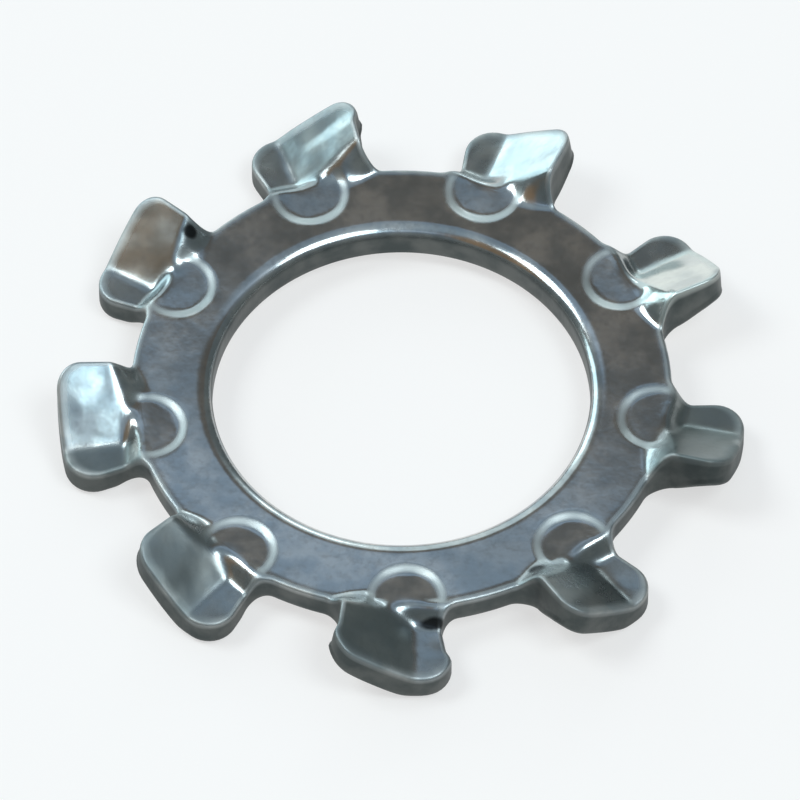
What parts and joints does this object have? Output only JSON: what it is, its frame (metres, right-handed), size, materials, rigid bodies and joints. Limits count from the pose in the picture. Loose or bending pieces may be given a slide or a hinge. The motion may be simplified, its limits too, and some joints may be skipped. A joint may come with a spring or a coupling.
{
  "type": "lock washer",
  "caption": "Flat spring steel ring with a plain round bore and twisted outside teeth that bite into the nut and the surface below, so that a screwed joint does not shake loose",
  "frame": {"origin": "on the bore axis at half the thickness of the flat ring", "axes": "+Z along the bore towards the side with the rolled bore edge, up as the washer lies in the picture; +X to the right as seen from above, +Y away from the viewer"},
  "size_m": [0.0191, 0.019, 0.0023],
  "materials": {
    "zinc_plate": "bright zinc plate, satin"
  },
  "bodies": {
    "root": {"lock_washer": "zinc_plate"}
  },
  "joints": []
}
